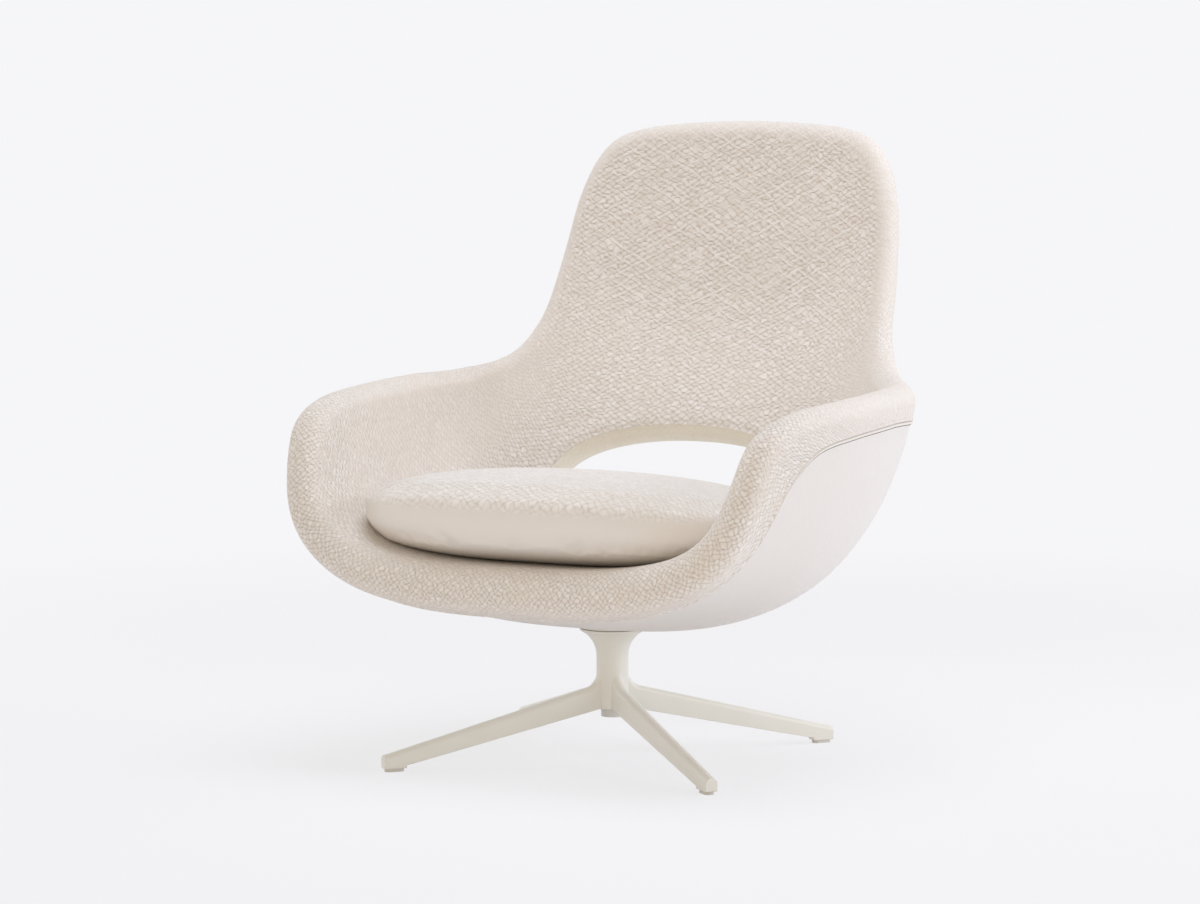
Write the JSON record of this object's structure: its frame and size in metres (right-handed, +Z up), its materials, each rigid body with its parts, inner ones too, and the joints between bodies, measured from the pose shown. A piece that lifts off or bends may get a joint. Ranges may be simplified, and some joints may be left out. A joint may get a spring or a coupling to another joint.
{
  "type": "pedestal swivel armchair",
  "caption": "High-backed bucket armchair upholstered in pale woven fabric, with an open lumbar, a loose oval seat cushion and a painted spoked swivel pedestal.",
  "frame": {"origin": "on the floor, midway across the chair and midway between its front lip and the back of its head", "axes": "+Z up, -Y towards the front of the seat, +X towards the sitter's left; the swivel axis is vertical at x 0, y -73.35 mm"},
  "size_m": [0.8682, 0.8487, 0.97],
  "materials": {
    "base_paint": "satin cream powder coat on cast aluminium",
    "bush_nylon": "natural nylon",
    "bronze": "sintered bronze",
    "cap_plastic": "light grey moulded plastic",
    "glide_plastic": "grey nylon",
    "ground_steel": "ground",
    "plate_steel": "zinc plated",
    "bolt_steel": "blackened",
    "insert_brass": "turned",
    "shell_plastic": "moulded shell, hidden",
    "shell_fabric": "cream matelasse weave over foam",
    "facing_fabric": "cream matelasse weave, stretched strip",
    "panel_fabric": "cream matelasse weave, stretched",
    "welt_fabric": "sewn welt",
    "cushion_fabric": "cream matelasse weave, loose cushion"
  },
  "bodies": {
    "pedestal": {"pedestal_base": "base_paint", "upper_bush": "bush_nylon", "lower_bush": "bush_nylon", "thrust_washer": "bronze", "bottom_cap": "cap_plastic", "glide_front_right": "glide_plastic", "glide_back_right": "glide_plastic", "glide_back_left": "glide_plastic", "glide_front_left": "glide_plastic"},
    "seat": {"swivel_spindle": "ground_steel", "mounting_plate": "plate_steel", "plate_bolts": "bolt_steel", "shell_inserts": "insert_brass", "lower_washer": "plate_steel", "retaining_ring": "bolt_steel", "seat_shell": "shell_plastic", "inner_upholstery": "shell_fabric", "opening_facing": "facing_fabric", "outer_upholstery": "panel_fabric", "rim_welt": "welt_fabric", "opening_welt": "welt_fabric"},
    "cushion": {"seat_cushion": "cushion_fabric"}
  },
  "joints": [
    {"name": "swivel", "type": "hinge", "parent": "pedestal", "child": "seat", "pos_m": [0, -0.07335, 0], "axis": [0, 0, 1], "continuous": true},
    {"name": "cushion_lift", "type": "slide", "parent": "seat", "child": "cushion", "axis": [0, 0, 1], "range_m": [0, 0.25]}
  ]
}
